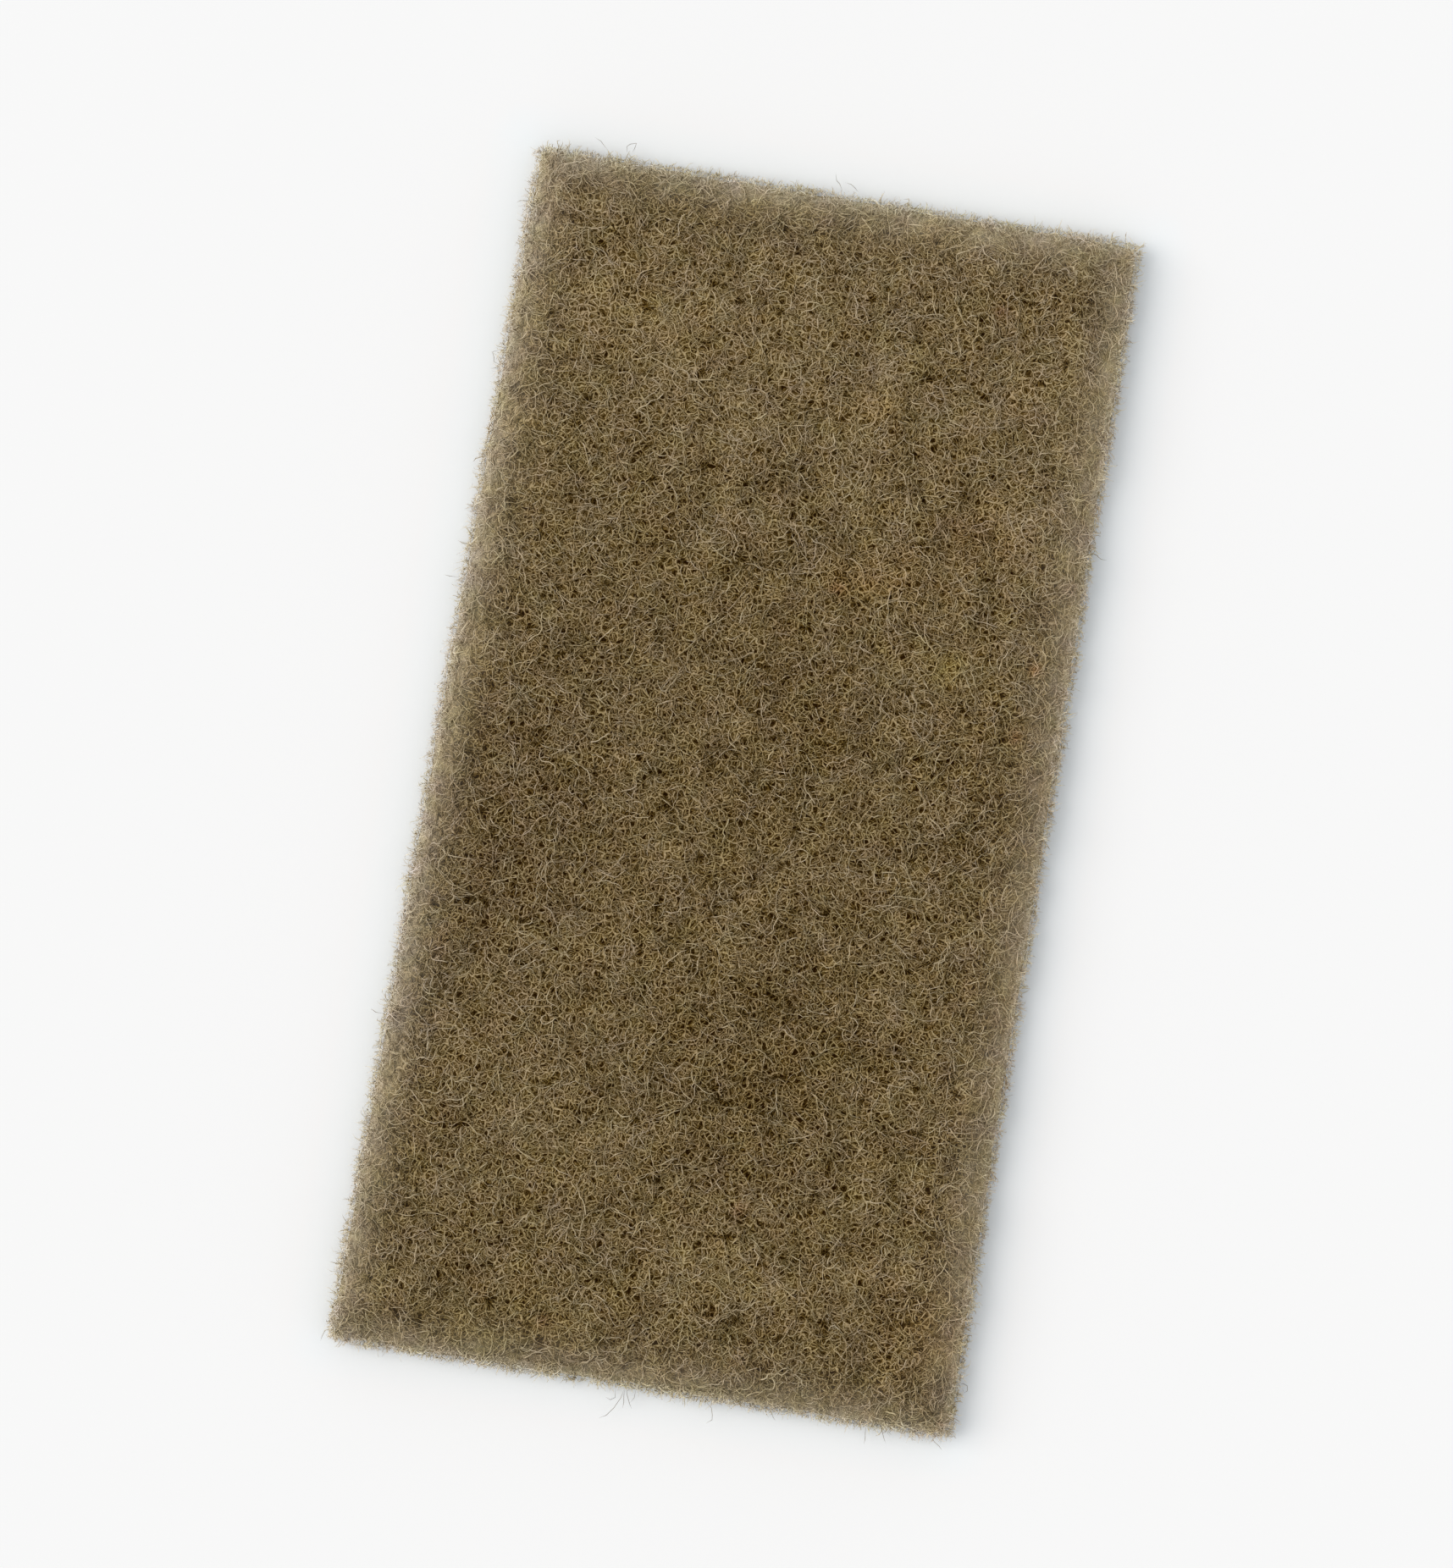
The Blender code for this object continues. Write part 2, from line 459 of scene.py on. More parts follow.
class Nodes:
    """The nodes of a material or world, to which more are added one call at a time."""

    def __init__(self, tree):
        self.tree = tree

    def node(self, kind, settings, inputs, output=0):
        """Adds a node of this type, sets it up, fills or links its sockets, and gives one output."""
        made = self.tree.nodes.new(kind)
        for name, value in settings.items():
            if name == "stops":
                self.set_stops(made.color_ramp, value)
            else:
                setattr(made, name, value)
        for place, value in inputs.items():
            self.feed(made.inputs[place], value)
        return Value(self, made.outputs[output])

    def set_stops(self, ramp, stops):
        while len(ramp.elements) < len(stops):
            ramp.elements.new(1.0)
        for element, (position, shade) in zip(ramp.elements, stops):
            element.position = position
            element.color = (*shade, 1.0)

    def feed(self, socket, value):
        if isinstance(value, Value):
            self.tree.links.new(value.socket, socket)
        else:
            socket.default_value = value


class Finish(Nodes):
    """A new material with a nearly dull shader, and the patterns that its nodes make."""

    def __init__(self, name):
        self.material = bpy.data.materials.new(name)
        self.material.use_nodes = True
        super().__init__(self.material.node_tree)
        self.shader = self.tree.nodes["Principled BSDF"]
        self.paint("Specular IOR Level", MIRROR_LIGHT)

    def paint(self, socket, value):
        """Fills or links one of the shader's own sockets."""
        self.feed(self.shader.inputs[socket], value)

    def place(self):
        return self.node("ShaderNodeTexCoord", {}, {}, "Object")

    def attribute(self, name):
        return self.node("ShaderNodeAttribute", {"attribute_name": name}, {}, "Fac")

    def cloud(self, place, size, detail, output="Fac"):
        """Soft noise, 0 to 1, whose blotches are about this wide."""
        inputs = {"Vector": place, "Scale": 1 / size, "Detail": detail}
        return self.node("ShaderNodeTexNoise", {}, inputs, output)

    def vector_maths(self, operation, terms, output=0):
        return self.node("ShaderNodeVectorMath", {"operation": operation}, terms, output)

    def shift(self, place, offset):
        return self.vector_maths("ADD", {0: place, 1: offset})

    def mix(self, share, first, second):
        sockets = {0: share, 6: first, 7: second}
        return self.node("ShaderNodeMix", {"data_type": "RGBA"}, sockets, 2)

    def ramp(self, level, stops):
        return self.node("ShaderNodeValToRGB", {"stops": stops}, {0: level})


class PadSurface:
    """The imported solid's surface, and how far in from its cut outline a point lies."""

    def __init__(self):
        solid = bmesh.new()
        solid.from_mesh(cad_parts[PAD_NODE].data)
        bmesh.ops.remove_doubles(solid, verts=solid.verts, dist=MERGE_DISTANCE)
        self.tree = BVHTree.FromBMesh(solid)
        plan = [vert.co.xy for vert in solid.verts]
        solid.free()
        hull = np.array([plan[i] for i in geometry.convex_hull_2d(plan)])
        if np.cross(hull[1] - hull[0], hull[2] - hull[1]) < 0:
            hull = hull[::-1]
        self.hull = hull
        runs = np.roll(hull, -1, axis=0) - hull
        self.run_lengths = np.linalg.norm(runs, axis=1)
        self.along = runs / self.run_lengths[:, None]
        self.inward = np.stack([-self.along[:, 1], self.along[:, 0]], axis=1)

    def across_from(self, spots, height):
        """Surface points right below or above these places, seen from this height, and their directions."""
        towards = Vector((0.0, 0.0, math.copysign(1.0, PAD_HIGH.z / 2 - height)))
        found = [self.tree.ray_cast(Vector((x, y, height)), towards)[:2] for x, y in spots.tolist()]
        found = [(foot, normal) for foot, normal in found if foot]
        return np.array([foot[:] for foot, _ in found]), np.array([normal[:] for _, normal in found])

    def nearest(self, points):
        """The nearest surface point to each point, and the face's direction there."""
        found = [self.tree.find_nearest(point)[:2] for point in points.tolist()]
        feet = np.array([foot[:] for foot, _ in found])
        normals = np.array([normal[:] for _, normal in found])
        return feet, normals

    def inset(self, points):
        """Distance in plan from each point to the cut outline, positive inside it."""
        distances = np.full(points.shape[:-1], np.inf)
        for corner, inward in zip(self.hull, self.inward):
            distances = np.minimum(distances, (points[..., :2] - corner) @ inward)
        return distances

    def keep_inside(self, points, margin):
        """Moves points that are nearer to the cut than this margin, or outside it, in to the margin."""
        for corner, inward in zip(self.hull, self.inward):
            short = np.maximum(margin - (points[..., :2] - corner) @ inward, 0.0)
            points[..., :2] += short[..., None] * inward

    def round_the_cut(self, places):
        """Points on the outline at these shares of the way round it, and the outward directions there."""
        ends = np.cumsum(self.run_lengths)
        along = places * ends[-1]
        runs = np.minimum(np.searchsorted(ends, along), len(ends) - 1)
        into = along - (ends[runs] - self.run_lengths[runs])
        return self.hull[runs] + self.along[runs] * into[:, None], -self.inward[runs]


def unit(vectors):
    return vectors / np.maximum(np.linalg.norm(vectors, axis=1, keepdims=True), 1e-12)


def scatter_on_face(surface, amount, height, rng):
    """Surface points spread evenly over the pad's plan, on the face seen from this height."""
    low = np.array(PAD_LOW.xy)
    high = np.array(PAD_HIGH.xy)
    spots = low + (high - low) * rng.random((2 * amount, 2))
    spots = spots[surface.inset(spots) > 0][:amount]
    return surface.across_from(spots, height)


def scatter_on_sides(surface, amount, rng):
    """Surface points spread round the cut sides, from the heel to the top of the shoulder."""
    outline, outward = surface.round_the_cut(rng.random(amount))
    reach = SIDE_BREADTH * rng.random(amount) ** SIDE_CROWDING
    height = PAD_HIGH.z * rng.random(amount)
    spots = outline + outward * (SIDE_OVERHANG - reach)[:, None]
    return surface.nearest(np.column_stack([spots, height + SIDE_LIFT * rng.random(amount)]))


def walk_fibres(surface, feet, normals, levels, sizes, strides, rng):
    """Points of curling fibres that keep near their level and dive at both ends, and their depths."""
    amount = len(feet)
    here = feet + normals * levels[:, None]
    ahead = unit(np.cross(normals, rng.normal(size=(amount, 3))))
    curliness = rng.uniform(*CURL_RANGE, amount)
    bend = rng.normal(size=amount)
    phase = rng.uniform(0, 2 * math.pi, amount)
    pace = sizes.wave_pace * rng.uniform(*PACE_RANGE, amount)
    points = np.empty((amount, strides + 1, 3))
    depths = np.empty((amount, strides + 1))
    for step in range(strides + 1):
        foot, normal = surface.nearest(here)
        height = np.einsum("ij,ij->i", here - foot, normal)
        points[:, step] = here
        depths[:, step] = -height
        dive = sizes.mat_depth * abs(2 * step / strides - 1) ** LATE_DIVE
        level = levels + sizes.wave * np.sin(phase + pace * step) - dive
        bend = sizes.curl_memory * bend + math.sqrt(1 - sizes.curl_memory**2) * rng.normal(size=amount)
        turn = curliness * bend * sizes.stride / sizes.curl
        side = np.cross(normal, ahead)
        lean = np.einsum("ij,ij->i", ahead, normal)
        rise = BACK_TO_LEVEL * (level - height) / sizes.stride - BACK_TO_FLAT * lean
        ahead = unit(ahead + side * turn[:, None] + normal * rise[:, None])
        here = here + ahead * sizes.stride
    return points, depths


def cut_off(surface, points, margin):
    """Ends each fibre where it first comes near the outline, and says which of its points stay."""
    gone = np.maximum.accumulate(surface.inset(points) < margin, axis=1)
    first = gone.argmax(axis=1)
    each = np.arange(len(points))
    ended = gone.any(axis=1)
    tips = points[each, first]
    surface.keep_inside(tips, margin)
    points[each[ended], first[ended]] = tips[ended]
    gone[each[ended], first[ended]] = False
    steps = np.linalg.norm(np.diff(points, axis=1), axis=2)
    gone[:, 1:] |= steps < SHORTEST_RUN
    return ~gone


def fibre_section():
    """The section of every fibre, one metre in radius, which each curve scales to its own thickness."""
    section = bpy.data.curves.new("fibre_section", "CURVE")
    section.dimensions = "2D"
    spline = section.splines.new("POLY")
    spline.points.add(FIBRE_SIDES - 1)
    for corner, point in enumerate(spline.points):
        turn = 2 * math.pi * corner / FIBRE_SIDES
        point.co = (math.cos(turn), math.sin(turn), 0.0, 1.0)
    spline.use_cyclic_u = True
    return bpy.data.objects.new("fibre_section", section)


def spin_fibres(name, points, radii, used, tones, depths, surface, finish):
    """One mesh piece of closed three-sided fibres through the used points, pointed at both tips."""
    section = fibre_section()
    curve = bpy.data.curves.new(name, "CURVE")
    curve.dimensions = "3D"
    curve.bevel_mode = "OBJECT"
    curve.bevel_object = section
    used = used & (used.sum(axis=1) > 2)[:, None]
    for row, thick, mask in zip(points, radii, used):
        if mask.any():
            spline = curve.splines.new("POLY")
            spline.points.add(mask.sum() - 1)
            spline.points.foreach_set("co", np.column_stack([row[mask], np.ones(mask.sum())]).ravel())
            thick = thick[mask]
            thick[[0, -1]] = 0.0
            spline.points.foreach_set("radius", thick)
    line = bpy.data.objects.new(name + "_line", curve)
    bpy.context.scene.collection.objects.link(section)
    bpy.context.scene.collection.objects.link(line)
    graph = bpy.context.evaluated_depsgraph_get()
    mesh = bpy.data.meshes.new_from_object(line.evaluated_get(graph))
    mesh.name = name
    bpy.data.objects.remove(line)
    bpy.data.objects.remove(section)
    tones = np.repeat(tones[:, None], used.shape[1], axis=1)
    add_values(mesh, "tone", np.repeat(tones[used], FIBRE_SIDES))
    add_values(mesh, "depth", np.repeat(depths[used], FIBRE_SIDES))
    weld(mesh)
    finish_piece(name, mesh, surface, finish)


def weld(mesh):
    """Merges points that lie on each other, then turns the faces outwards."""
    shape = bmesh.new()
    shape.from_mesh(mesh)
    bmesh.ops.remove_doubles(shape, verts=shape.verts, dist=MERGE_DISTANCE)
    bmesh.ops.recalc_face_normals(shape, faces=shape.faces)
    shape.to_mesh(mesh)
    shape.free()


def add_values(mesh, name, values):
    layer = mesh.attributes.new(name, "FLOAT", "POINT")
    layer.data.foreach_set("value", np.ascontiguousarray(values, dtype=np.float32))


def mesh_points(mesh):
    points = np.empty(len(mesh.vertices) * 3, np.float32)
    mesh.vertices.foreach_get("co", points)
    return points.reshape(-1, 3).astype(float)


def add_bake_map(mesh, halves):
    """A flat map seen from above. With halves, faces that look down get a place of their own."""
    points = mesh_points(mesh)
    corners = np.empty(len(mesh.loops), np.int32)
    mesh.loops.foreach_get("vertex_index", corners)
    low = np.array(PAD_LOW) - MAP_MARGIN
    span = np.array(PAD_HIGH) + MAP_MARGIN - low
    places = (points[:, :2] - low[:2] + points[:, 2:] * MAP_SLANT) / span[:2]
    places = places[corners]
    if halves:
        normals = np.empty(len(mesh.polygons) * 3, np.float32)
        mesh.polygons.foreach_get("normal", normals)
        totals = np.empty(len(mesh.polygons), np.int32)
        mesh.polygons.foreach_get("loop_total", totals)
        down = np.repeat(normals.reshape(-1, 3)[:, 2] < 0, totals)
        places[:, 0] = places[:, 0] / 2 + 0.5 * down
    layer = mesh.uv_layers.new(name=BAKE_MAP)
    layer.uv.foreach_set("vector", places.astype(np.float32).ravel())


def patch_tones(points):
    """How much lighter, redder and yellower the broad patches, the bands of painted edge light and the spots
    make each point.
    """
    tones = np.zeros((3, len(points)))
    for across, along, reach_across, reach_along, *strengths in PATCHES:
        off_x = (points[:, 0] * 1000 - across) / reach_across
        off_y = (points[:, 1] * 1000 - along) / reach_along
        share = np.exp(-(off_x**2) - off_y**2)
        tones += np.outer(strengths, share)
    return tones


def finish_piece(name, mesh, surface, finish, halves=False):
    """Makes the mesh a piece of the pad, with its distance from the cut, its map and its finish."""
    points = mesh_points(mesh)
    add_values(mesh, "inset", surface.inset(points))
    for label, tones in zip(("lighter", "redder", "yellower"), patch_tones(points)):
        add_values(mesh, label, tones)
    add_bake_map(mesh, halves)
    mesh.materials.clear()
    mesh.materials.append(finish)
    mesh.shade_smooth()
    piece = bpy.data.objects.new(name, mesh)
    bpy.context.scene.collection.objects.link(piece)
    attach(piece, "root")
    return piece


def painted_rim_light_share(finish, place):
    """Share of painted light at the cut, for light through the thin web: most where faces look up, least by
    the floor.
    """
    near = 0.5 ** (finish.attribute("inset") / RIM_HALVES)
    raised = (finish.vector_maths("DOT_PRODUCT", {0: place, 1: UPWARDS}, 1) / RIM_HEIGHT).clamp()
    normal = finish.node("ShaderNodeNewGeometry", {}, {}, "Normal")
    facing = finish.vector_maths("DOT_PRODUCT", {0: normal, 1: UPWARDS}, 1).clamp()
    return (near * raised * (RIM_UPRIGHT + facing * RIM_FLAT)).clamp()


def tinted(finish, shade, place):
    """Turns a colour redder and yellower by the broad patches and by small ones of noise."""
    red = finish.cloud(finish.shift(place, RED_OFFSET), TINT, 3.0) - 0.5
    yellow = finish.cloud(finish.shift(place, YELLOW_OFFSET), TINT, 3.0) - 0.5
    red = finish.attribute("redder") + red * RED_STEPS
    yellow = finish.attribute("yellower") + yellow * YELLOW_STEPS
    for strength, tint in ((red, REDDER), (yellow, YELLOWER)):
        change = finish.vector_maths("SCALE", {0: tint, 3: strength})
        factor = finish.vector_maths("ADD", {0: change, 1: (1.0, 1.0, 1.0)})
        shade = finish.vector_maths("MULTIPLY", {0: shade, 1: factor})
    return shade


def toned(finish, level, place, speck):
    """The web's colour at this level, with its patches and the painted light of its pale, speckled rim."""
    colours = bpy.context.scene.pad_colours
    inset = finish.attribute("inset")
    calm = (1 - inset / CALM_REACH).clamp() * CALM_SHARE
    level = level + (CALM_LEVEL - level) * calm
    level = level + finish.attribute("lighter") * PATCH_CHANGE
    # The low end of this ramp is painted shade of the depth of the web
    shades = ((0.0, colours.deep), (0.35, colours.shade), (0.7, colours.web), (1.0, colours.bright))
    shade = finish.ramp(level, shades)
    # The pale, speckled rim is painted light, for light that comes through the thin web at the cut
    outermost = (1 - inset / SPECK_REACH).clamp()
    ends = ((0.0, colours.rim_light_darkest), (0.5, colours.rim), (1.0, colours.rim_light_brightest))
    pale = RIM_LEVEL + (speck - SPECK_OFF) * outermost + finish.attribute("lighter") * RIM_PATCH_CHANGE
    mixed = finish.mix(painted_rim_light_share(finish, place), shade, finish.ramp(pale, ends))
    return tinted(finish, mixed, place)


def painted_pit_shade(finish, place):
    """Painted shade: how much darker the web is where a gap goes deep, mostly not at all."""
    gap = finish.cloud(finish.shift(place, PIT_OFFSET), PIT, 0.0)
    return ((PIT_LIMIT - gap) * PIT_SLOPE).clamp() * PIT_SHADE_DARKNESS


def fibre_finish():
    """Resin-coated nylon with fine grain, with painted light on top and at the rim and painted shade in the
    depth.
    """
    found = bpy.data.materials.get("pad_fibre")
    if found:
        return found
    finish = Finish("pad_fibre")
    place = finish.place()
    broad = finish.cloud(place, BROAD, 4.0)
    knots = finish.cloud(place, FIBRE_KNOTS, 1.0)
    grain = finish.cloud(place, GRAIN, 1.0)
    # Painted shade: fibres that lie deeper in the web are darker
    depth = (finish.attribute("depth") / FULL_SHADE_DEPTH).clamp()
    level = FIBRE_LEVEL + finish.attribute("tone") * TONE_CHANGE
    level = level + (broad - 0.5) * BROAD_CHANGE + (knots - 0.5) * KNOTS_CHANGE
    level = level + (grain - 0.5) * FIBRE_GRAIN - depth * DEPTH_SHADE_CHANGE - painted_pit_shade(finish, place)
    speck = FIBRE_SPECK + finish.attribute("tone") * SPECK_TONE + (grain - 0.5) * SPECK_GRAIN
    finish.paint("Base Color", toned(finish, level, place, speck))
    finish.paint("Roughness", FIBRE_ROUGHNESS[0] + grain * FIBRE_ROUGHNESS[1])
    return finish.material


def loose_finish():
    """Bare nylon of the loose fibres, greyer than the web and uneven along its length."""
    finish = Finish("pad_loose_fibre")
    colours = bpy.context.scene.pad_colours
    uneven = finish.cloud(finish.place(), LOOSE_KNOTS, 1.0)
    shade = finish.mix(uneven, (*colours.loose, 1.0), (*colours.web, 1.0))
    finish.paint("Base Color", shade)
    finish.paint("Roughness", LOOSE_ROUGHNESS[0] + uneven * LOOSE_ROUGHNESS[1])
    return finish.material


def unrolled(finish, place):
    """The pad's surface laid flat: its plan, with the sides turned up round it."""
    drop = PAD_HIGH.z - finish.vector_maths("DOT_PRODUCT", {0: place, 1: UPWARDS}, 1)
    spread = finish.vector_maths("SCALE", {0: (1 / PAD_HIGH.x, 1 / PAD_HIGH.y, 0.0), 3: drop})
    return finish.vector_maths("MULTIPLY_ADD", {0: place, 1: spread, 2: place})


def strand_distance(finish, place, spacing, thickness):
    """How far a point lies from a net of lines about this far apart, in half thicknesses of a line."""
    settings = {"feature": "DISTANCE_TO_EDGE", "voronoi_dimensions": "2D"}
    edge = finish.node("ShaderNodeTexVoronoi", settings, {"Vector": place, "Scale": 1 / spacing})
    return edge * (2 * spacing / thickness)


def web_finish():
    """The depth of the web: painted curling fibres in painted shade, layer over layer, each with its own
    painted shadow.
    """
    finish = Finish("pad_web_depth")
    place = finish.place()
    swirl = finish.cloud(place, NET_BEND, 1.0, "Color")
    warp = (NET_BEND, NET_BEND, 0.0)
    bent = finish.vector_maths("MULTIPLY_ADD", {0: swirl, 1: warp, 2: unrolled(finish, place)})
    lines = NET_GAP
    for layer in range(NET_LAYERS):
        shifted = finish.shift(bent, (NET_OFFSET[0] * layer, NET_OFFSET[1] * layer, 0.0))
        away = strand_distance(finish, shifted, NET_SPACING - NET_CLOSER * layer, NET_THICKNESS)
        light = (NET_LIGHT_END - away).clamp() * (NET_LEVEL + NET_LEVEL_STEP * layer)
        lines = lines + (light - lines) * (NET_SHADOW_END - away).clamp()
    broad = finish.cloud(place, BROAD, 4.0)
    knots = finish.cloud(place, WEB_KNOTS, 1.0)
    grain = finish.cloud(place, GRAIN, 1.0)
    level = lines + (broad - 0.5) * BROAD_CHANGE + (knots - 0.45) * KNOTS_CHANGE
    level = level + (grain - 0.5) * WEB_GRAIN - painted_pit_shade(finish, place)
    speck = WEB_SPECK[0] + lines * WEB_SPECK[1]
    finish.paint("Base Color", toned(finish, level, place, speck))
    finish.paint("Roughness", WEB_ROUGHNESS)
    relief = {"Strength": NET_RELIEF_STRENGTH, "Distance": NET_RELIEF, "Height": lines}
    bump = finish.node("ShaderNodeBump", {}, relief)
    finish.paint("Normal", bump)
    return finish.material


class PAD_OT_dense_web(bpy.types.Operator):
    """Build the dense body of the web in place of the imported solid"""

    bl_idname = "pad.dense_web"
    bl_label = "Dense Web"

    def execute(self, context):
        sizes = context.scene.pad_web
        surface = PadSurface()
        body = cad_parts[PAD_NODE].data.copy()
        weld(body)
        holder = bpy.data.objects.new("web_body_cage", body)
        context.scene.collection.objects.link(holder)
        remesh = holder.modifiers.new("even faces", "REMESH")
        remesh.mode = "VOXEL"
        remesh.voxel_size = sizes.voxel
        graph = context.evaluated_depsgraph_get()
        mesh = bpy.data.meshes.new_from_object(holder.evaluated_get(graph))
        mesh.name = "web_body"
        bpy.data.objects.remove(holder)
        points = mesh_points(mesh)
        normals = np.empty(len(points) * 3, np.float32)
        mesh.vertices.foreach_get("normal", normals)
        middle = np.array((PAD_LOW + PAD_HIGH) / 2)
        half = np.array((PAD_HIGH - PAD_LOW) / 2)
        points[:, :2] = middle[:2] + (points[:, :2] - middle[:2]) * (1 - sizes.side_inset / half[:2])
        room = PAD_HIGH.z - sizes.top_inset - sizes.floor_gap
        lowness = 1 - np.clip(points[:, 2] / PAD_HIGH.z, 0.0, 1.0)
        skirt = np.clip(1 - (surface.inset(points) / sizes.skirt) ** 2, 0.0, 1.0)
        gap = sizes.floor_gap * (1 - SKIRT_CLOSES * skirt * lowness)
        points[:, 2] = gap + points[:, 2] * room / PAD_HIGH.z
        sink = [noise.noise(Vector(point) / sizes.hollow_spacing) for point in points.tolist()]
        points += normals.reshape(-1, 3) * (np.array(sink) * sizes.hollow_depth)[:, None]
        points[:, 2] = np.maximum(points[:, 2], gap * LEAST_GAP)
        mesh.vertices.foreach_set("co", points.astype(np.float32).ravel())
        mesh.update()
        add_values(mesh, "depth", np.full(len(points), sizes.top_inset))
        piece = finish_piece("web_body", mesh, surface, web_finish(), halves=True)
        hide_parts(PAD_NODE)
        return {"FINISHED"}


def lay_mat(name, surface, feet, normals, seed):
    """A mat of curled fibres that start at these surface points."""
    sizes = bpy.context.scene.pad_fibres
    rng = np.random.default_rng(seed)
    amount = len(feet)
    levels = -sizes.mat_depth * rng.random(amount)
    points, depths = walk_fibres(surface, feet, normals, levels, sizes, sizes.strides, rng)
    points[:, :, 2] = np.maximum(points[:, :, 2], PAD_LOW.z + sizes.thickness * FIBRE_CLEARANCE)
    used = cut_off(surface, points, sizes.cut_margin)
    usual = sizes.thickness / 2 * np.exp(sizes.thickness_spread * rng.normal(size=amount))
    radii = usual[:, None] * rng.uniform(*THICKNESS_RANGE, depths.shape)
    spin_fibres(name, points, radii, used, rng.normal(size=amount), depths, surface, fibre_finish())


class PAD_OT_upper_fibres(bpy.types.Operator):
    """Lay the mats of curled fibres over the upper face"""

    bl_idname = "pad.upper_fibres"
    bl_label = "Upper Fibres"

    def execute(self, context):
        surface = PadSurface()
        amount = context.scene.pad_fibres.upper_fibres
        for mat, (place_seed, walk_seed) in enumerate(UPPER_SEEDS, 1):
            rng = np.random.default_rng(place_seed)
            feet, normals = scatter_on_face(surface, amount, 2 * PAD_HIGH.z, rng)
            lay_mat(f"upper_fibres_{mat}", surface, feet, normals, walk_seed)
        return {"FINISHED"}


class PAD_OT_side_fibres(bpy.types.Operator):
    """Lay the mat of curled fibres over the cut sides"""

    bl_idname = "pad.side_fibres"
    bl_label = "Side Fibres"

    def execute(self, context):
        surface = PadSurface()
        place_seed, walk_seed = SIDE_SEEDS
        rng = np.random.default_rng(place_seed)
        feet, normals = scatter_on_sides(surface, context.scene.pad_fibres.side_fibres, rng)
        lay_mat("side_fibres", surface, feet, normals, walk_seed)
        return {"FINISHED"}


class PAD_OT_under_fibres(bpy.types.Operator):
    """Lay the mat of curled fibres over the underside"""

    bl_idname = "pad.under_fibres"
    bl_label = "Underside Fibres"

    def execute(self, context):
        surface = PadSurface()
        place_seed, walk_seed = UNDER_SEEDS
        rng = np.random.default_rng(place_seed)
        feet, normals = scatter_on_face(surface, context.scene.pad_fibres.under_fibres, -PAD_HIGH.z, rng)
        lay_mat("under_fibres", surface, feet, normals, walk_seed)
        return {"FINISHED"}


class PAD_OT_cut_ends(bpy.types.Operator):
    """Stand short fibre ends along the cut outline"""

    bl_idname = "pad.cut_ends"
    bl_label = "Cut Ends"

    def execute(self, context):
        surface = PadSurface()
        sizes = context.scene.pad_fibres
        rng = np.random.default_rng(CUT_END_SEED)
        amount = sizes.cut_ends
        places = rng.random(amount)
        gather = [noise.noise(Vector((place * sizes.tufts, 0.0, 0.0))) for place in places.tolist()]
        places = (places + np.array(gather) * CUT_END_GATHER / sizes.tufts) % 1.0
        outline, outward = surface.round_the_cut(places)
        inset = sizes.cut_end_reach * rng.random(amount) ** CUT_END_CROWDING
        height = CUT_END_LOWEST + PAD_HIGH.z * rng.random(amount)
        spots = np.column_stack([outline - outward * inset[:, None], height])
        feet, normals = surface.nearest(spots)
        out = np.column_stack([outward, np.zeros(amount)])
        ahead = unit(out + CUT_END_RISE * normals + CUT_END_STRAY * rng.normal(size=(amount, 3)))
        swerve = unit(ahead + CUT_END_BEND * rng.normal(size=(amount, 3)))
        curl = unit(swerve + CUT_END_BEND * rng.normal(size=(amount, 3)))
        tufts = np.array([noise.noise(Vector(foot) / sizes.tuft_spacing) for foot in feet.tolist()])
        least, further = CUT_END_SHARES
        reach = sizes.cut_end_length * (least + further * rng.random(amount) ** 2)
        reach = (reach * np.clip(1 + TUFT_CHANGE * tufts, *TUFT_LIMITS))[:, None]
        start = feet - normals * CUT_END_ROOT - ahead * reach * CUT_END_BACK
        runs = [heading * reach * share for heading, share in zip((ahead, swerve, curl), CUT_END_RUNS)]
        points = np.cumsum(np.stack([start, *runs], axis=1), axis=1)
        points[:, :, 2] = np.maximum(points[:, :, 2], PAD_LOW.z + sizes.thickness * FIBRE_CLEARANCE)
        radii = sizes.thickness / 2 * rng.uniform(*CUT_END_THICKNESS, (amount, 4))
        used = np.ones((amount, 4), bool)
        # Ends that stand further in have one bend instead of two
        used[:, 2] = inset < sizes.cut_end_reach / 4
        depths = sizes.mat_depth * CUT_END_DEPTH * rng.random((amount, 1)) * np.ones((1, 4))
        tones = rng.normal(size=amount)
        spin_fibres("cut_ends", points, radii, used, tones, depths, surface, fibre_finish())
        return {"FINISHED"}


class PAD_OT_loose_fibres(bpy.types.Operator):
    """Let the loose fibres stand out from the cut"""

    bl_idname = "pad.loose_fibres"
    bl_label = "Loose Fibres"

    def execute(self, context):
        sizes = context.scene.pad_fibres
        amount = len(LOOSE_FIBRES)
        longest = max(len(line) for line in LOOSE_FIBRES)
        points = np.zeros((amount, longest, 3))
        used = np.zeros((amount, longest), bool)
        for i, line in enumerate(LOOSE_FIBRES):
            points[i, : len(line), :2] = np.array(line) / 1000
            points[i, : len(line), 2] = sizes.loose_height + sizes.wave * np.sin(i + np.arange(len(line)))
            used[i, : len(line)] = True
        radii = np.full((amount, longest), sizes.loose_thickness / 2)
        tones = np.zeros(amount)
        depths = np.zeros((amount, longest))
        spin_fibres("loose_fibres", points, radii, used, tones, depths, PadSurface(), loose_finish())
        return {"FINISHED"}


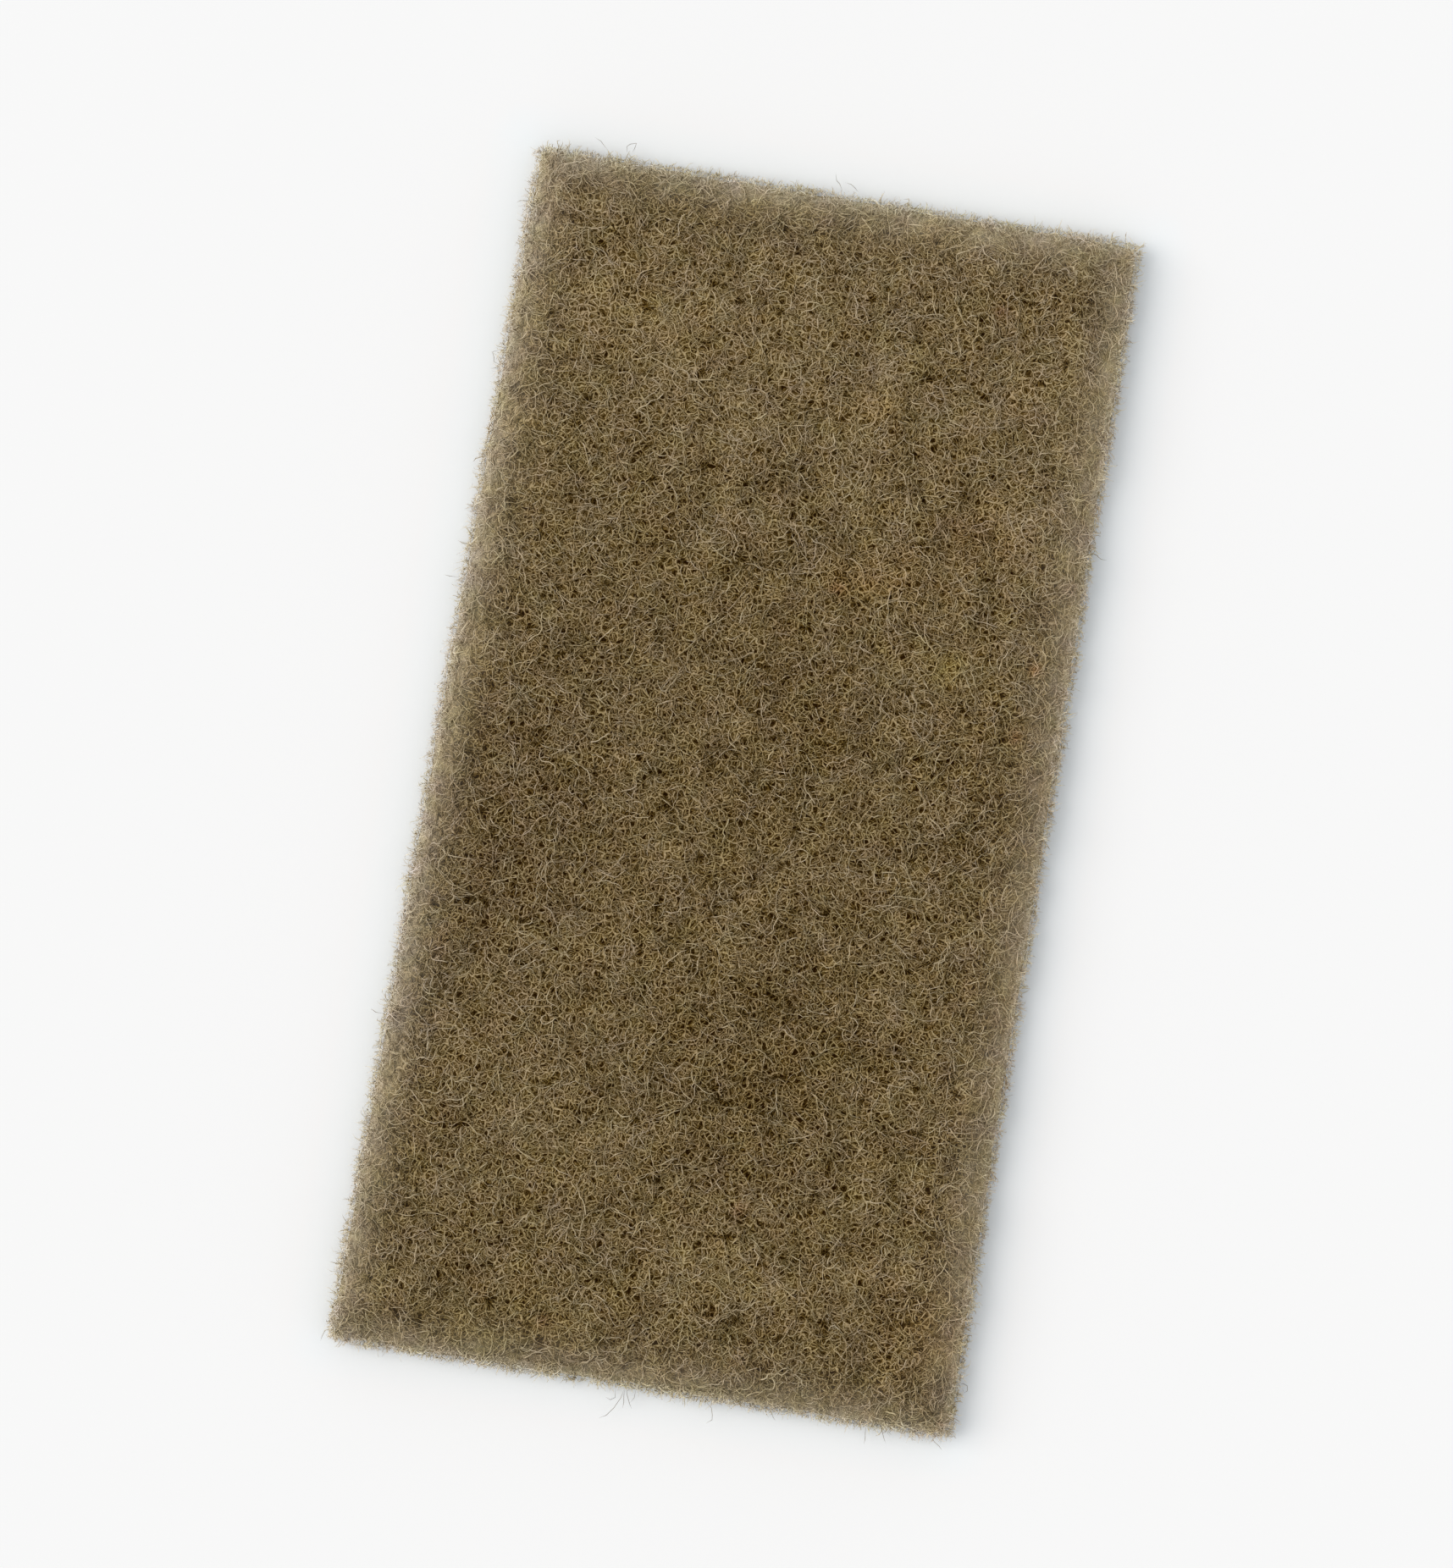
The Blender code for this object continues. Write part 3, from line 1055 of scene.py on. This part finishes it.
class PAD_OT_stage(bpy.types.Operator):
    """Set up the pale floor, the soft light and the camera straight above"""

    bl_idname = "pad.stage"
    bl_label = "Stage"

    def execute(self, context):
        stage = context.scene.pad_stage
        self.lay_floor(context.scene, stage)
        self.light_dome(context.scene, stage)
        self.hang_key(context.scene, stage)
        self.place_camera(context.scene, stage)
        context.scene.view_settings.view_transform = "Standard"
        return {"FINISHED"}

    def lay_floor(self, scene, stage):
        shape = bmesh.new()
        bmesh.ops.create_grid(shape, x_segments=1, y_segments=1, size=FLOOR_REACH)
        bmesh.ops.translate(shape, verts=shape.verts, vec=(0.0, 0.0, PAD_LOW.z - FLOOR_DROP))
        mesh = bpy.data.meshes.new("floor")
        shape.to_mesh(mesh)
        shape.free()
        finish = Finish("pale_floor")
        # The floor is painted cooler close to the pad, a painted tint of the pad's shadow
        across = finish.vector_maths("ABSOLUTE", {0: finish.place()})
        beyond = finish.vector_maths("SUBTRACT", {0: across, 1: (PAD_HIGH.x, PAD_HIGH.y, 1.0)})
        beyond = finish.vector_maths("MAXIMUM", {0: beyond, 1: (0.0, 0.0, 0.0)})
        away = finish.vector_maths("LENGTH", {0: beyond}, 1) / stage.floor_fade
        shade = finish.mix(away.clamp(), (*stage.floor_shadow_tint, 1.0), (*stage.floor, 1.0))
        finish.paint("Base Color", shade)
        finish.paint("Roughness", FLOOR_ROUGHNESS)
        mesh.materials.append(finish.material)
        floor = bpy.data.objects.new("floor", mesh)
        scene.collection.objects.link(floor)

    def light_dome(self, scene, stage):
        world = bpy.data.worlds.new("soft_studio")
        world.use_nodes = True
        scene.world = world
        nodes = Nodes(world.node_tree)
        usual = nodes.tree.nodes["Background"]
        nodes.feed(usual.inputs["Color"], (*stage.dome_tint, 1.0))
        nodes.feed(usual.inputs["Strength"], stage.dome)
        lit = Value(nodes, usual.outputs[0])
        shown = nodes.node("ShaderNodeBackground", {}, {"Color": (*stage.backdrop, 1.0), "Strength": 1.0})
        rays = ("Is Camera Ray", "Is Glossy Ray", "Is Transmission Ray")
        camera, glossy, through = [nodes.node("ShaderNodeLightPath", {}, {}, ray) for ray in rays]
        seen = (camera + glossy + through).clamp()
        choice = nodes.node("ShaderNodeMixShader", {}, {0: seen, 1: lit, 2: shown})
        nodes.feed(nodes.tree.nodes["World Output"].inputs["Surface"], choice)

    def hang_key(self, scene, stage):
        lamp = bpy.data.lights.new("broad_key", "SUN")
        lamp.energy = stage.key
        lamp.color = stage.key_tint
        lamp.angle = stage.key_breadth
        key = bpy.data.objects.new("broad_key", lamp)
        towards = Vector((-math.cos(stage.key_height), 0.0, math.sin(stage.key_height)))
        key.rotation_euler = towards.to_track_quat("Z", "Y").to_euler()
        key.location = towards
        scene.collection.objects.link(key)

    def place_camera(self, scene, stage):
        view = bpy.data.cameras.new("camera")
        view.sensor_width = 36.0
        view.lens = view.sensor_width * stage.camera_height / stage.view_height
        camera = bpy.data.objects.new("camera", view)
        camera.location = (stage.camera_x, stage.camera_y, stage.camera_height)
        camera.rotation_euler = (0.0, 0.0, stage.turn)
        scene.collection.objects.link(camera)
        scene.camera = camera


class PAD_PT_looks(bpy.types.Panel):
    """Lists the steps that build the pad and its stage, and their settings"""

    bl_idname = "PAD_PT_looks"
    bl_label = "Abrasive Pad"
    bl_space_type = "VIEW_3D"
    bl_region_type = "UI"
    bl_category = "Pad"

    def draw(self, context):
        for step in STEPS:
            self.layout.operator(step.bl_idname)
        for name, group in SETTINGS.items():
            box = self.layout.box()
            for field in group.__annotations__:
                box.prop(getattr(context.scene, name), field)


STEPS = (
    PAD_OT_stage, PAD_OT_dense_web, PAD_OT_upper_fibres, PAD_OT_side_fibres, PAD_OT_under_fibres,
    PAD_OT_cut_ends, PAD_OT_loose_fibres,
)
SETTINGS = {
    "pad_web": PAD_PG_web, "pad_fibres": PAD_PG_fibres, "pad_colours": PAD_PG_colours,
    "pad_stage": PAD_PG_stage,
}


def register():
    for part in (*SETTINGS.values(), *STEPS, PAD_PT_looks):
        bpy.utils.register_class(part)
    for name, group in SETTINGS.items():
        setattr(bpy.types.Scene, name, PointerProperty(type=group))


def unregister():
    for name in SETTINGS:
        delattr(bpy.types.Scene, name)
    for part in reversed((*SETTINGS.values(), *STEPS, PAD_PT_looks)):
        bpy.utils.unregister_class(part)


def main():
    register()
    bpy.ops.pad.stage()
    bpy.ops.pad.dense_web()
    bpy.ops.pad.upper_fibres()
    bpy.ops.pad.side_fibres()
    bpy.ops.pad.under_fibres()
    bpy.ops.pad.cut_ends()
    bpy.ops.pad.loose_fibres()


if __name__ == "__main__":
    main()
